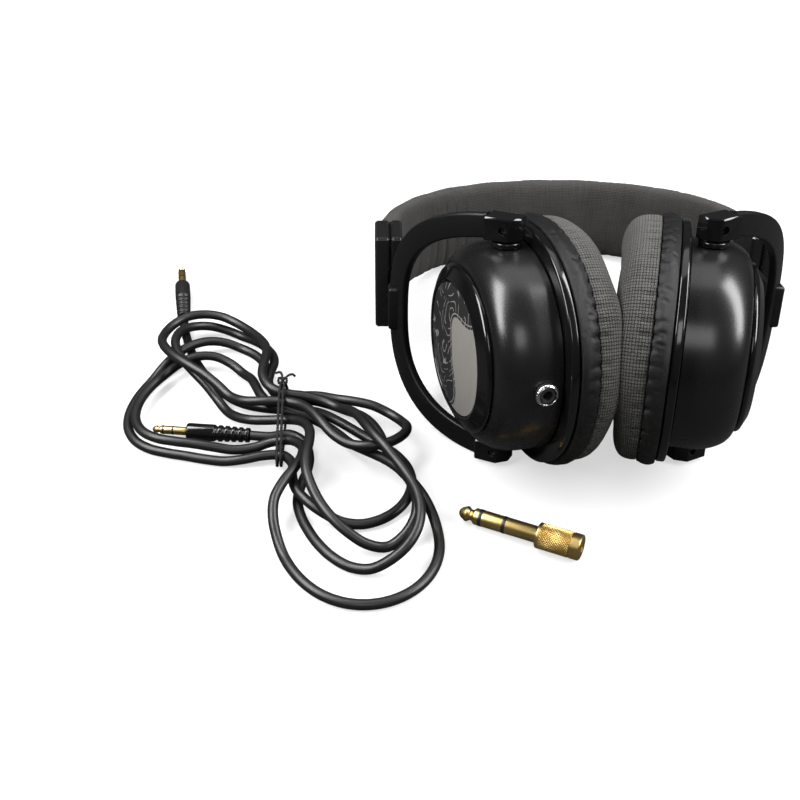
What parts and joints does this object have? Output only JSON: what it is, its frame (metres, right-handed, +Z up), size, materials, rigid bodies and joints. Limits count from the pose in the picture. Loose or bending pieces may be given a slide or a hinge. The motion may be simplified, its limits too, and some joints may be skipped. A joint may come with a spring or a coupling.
{
  "type": "wired studio headphones",
  "caption": "Closed-back over-ear wired headphones with sliding yokes, tilting cups, a sewn headband and a tied detachable lead with two plugs and an adapter.",
  "frame": {"origin": "centre of the headphones' footprint on the surface they lie on, the lead not counted", "axes": "+X from the wearer's left cup to the right one, +Y along the surface from the chin towards the crown, +Z up; the headphones lie face down, tipped back 13 degrees so that the headband touches the surface"},
  "size_m": [0.276, 0.2389, 0.1007],
  "materials": {
    "satin_black": "satin black moulded plastic with a soft sheen",
    "gloss_black": "polished black moulded plastic",
    "black_anodised": "satin black anodised die casting",
    "leatherette": "soft black leatherette, fine grain",
    "tie": "black twisted cord",
    "pad_fabric": "dark grey woven cushion fabric",
    "band_fabric": "dark grey close-woven fabric",
    "silver": "brushed silver-grey plate with a plain black printed pattern",
    "chrome": "bright nickel",
    "spring_steel": "bare spring steel",
    "screw_steel": "dark zinc-plated steel",
    "foam": "open-cell foam",
    "driver_plastic": "matt black plastic",
    "magnet": "nickel-plated magnet pot",
    "film": "thin amber film",
    "gold": "gold-plated brass",
    "cable_rubber": "black soft rubber"
  },
  "bodies": {
    "headband": {"headband_cover": "band_fabric", "headband_pad": "foam", "headband_spring": "spring_steel", "headband_wire": "cable_rubber", "end_cap_inner_left": "satin_black", "end_cap_inner_right": "satin_black", "end_cap_outer_left": "satin_black", "end_cap_outer_right": "satin_black", "slider_guide_left": "driver_plastic", "slider_guide_right": "driver_plastic", "cap_screw_left": "screw_steel", "cap_screw_right": "screw_steel", "cable_hank": "cable_rubber", "cable_tie": "tie", "plug_a_body": "cable_rubber", "plug_a_contact": "gold", "plug_b_body": "cable_rubber", "plug_b_contact": "gold", "adapter": "gold"},
    "yoke_left": {"yoke_left": "black_anodised", "pivot_block_top_left": "gloss_black", "pivot_block_bottom_left": "gloss_black", "pivot_pin_top_left": "screw_steel", "pivot_pin_bottom_left": "screw_steel", "set_screw_top_left": "screw_steel", "set_screw_bottom_left": "screw_steel"},
    "cup_left": {"cup_housing_left": "satin_black", "back_ring_left": "gloss_black", "back_plate_left": "silver", "baffle_left": "gloss_black", "driver_frame_left": "driver_plastic", "driver_magnet_left": "magnet", "driver_diaphragm_left": "film", "damping_foam_left": "foam", "ear_pad_left": "pad_fabric", "ear_pad_band_left": "leatherette", "pivot_bush_top_left": "gloss_black", "pivot_bush_bottom_left": "gloss_black", "jack_socket": "driver_plastic", "jack_nut": "chrome"},
    "yoke_right": {"yoke_right": "black_anodised", "pivot_block_top_right": "gloss_black", "pivot_block_bottom_right": "gloss_black", "pivot_pin_top_right": "screw_steel", "pivot_pin_bottom_right": "screw_steel", "set_screw_top_right": "screw_steel", "set_screw_bottom_right": "screw_steel"},
    "cup_right": {"cup_housing_right": "satin_black", "back_ring_right": "gloss_black", "back_plate_right": "silver", "baffle_right": "gloss_black", "driver_frame_right": "driver_plastic", "driver_magnet_right": "magnet", "driver_diaphragm_right": "film", "damping_foam_right": "foam", "ear_pad_right": "pad_fabric", "ear_pad_band_right": "leatherette", "pivot_bush_top_right": "gloss_black", "pivot_bush_bottom_right": "gloss_black"}
  },
  "joints": [
    {"name": "slider_left", "type": "slide", "parent": "headband", "child": "yoke_left", "axis": [0, -0.9739, 0.2269], "range_m": [-0.016, 0.014]},
    {"name": "slider_right", "type": "slide", "parent": "headband", "child": "yoke_right", "axis": [0, -0.9739, 0.2269], "range_m": [-0.016, 0.014]},
    {"name": "cup_tilt_left", "type": "hinge", "parent": "yoke_left", "child": "cup_left", "pos_m": [-0.03774, -0.05361, 0.05053], "axis": [0, 0.2269, 0.9739], "range_deg": [-22, 0]},
    {"name": "cup_tilt_right", "type": "hinge", "parent": "yoke_right", "child": "cup_right", "pos_m": [0.03774, -0.05361, 0.05053], "axis": [0, 0.2269, 0.9739], "range_deg": [0, 22]}
  ]
}
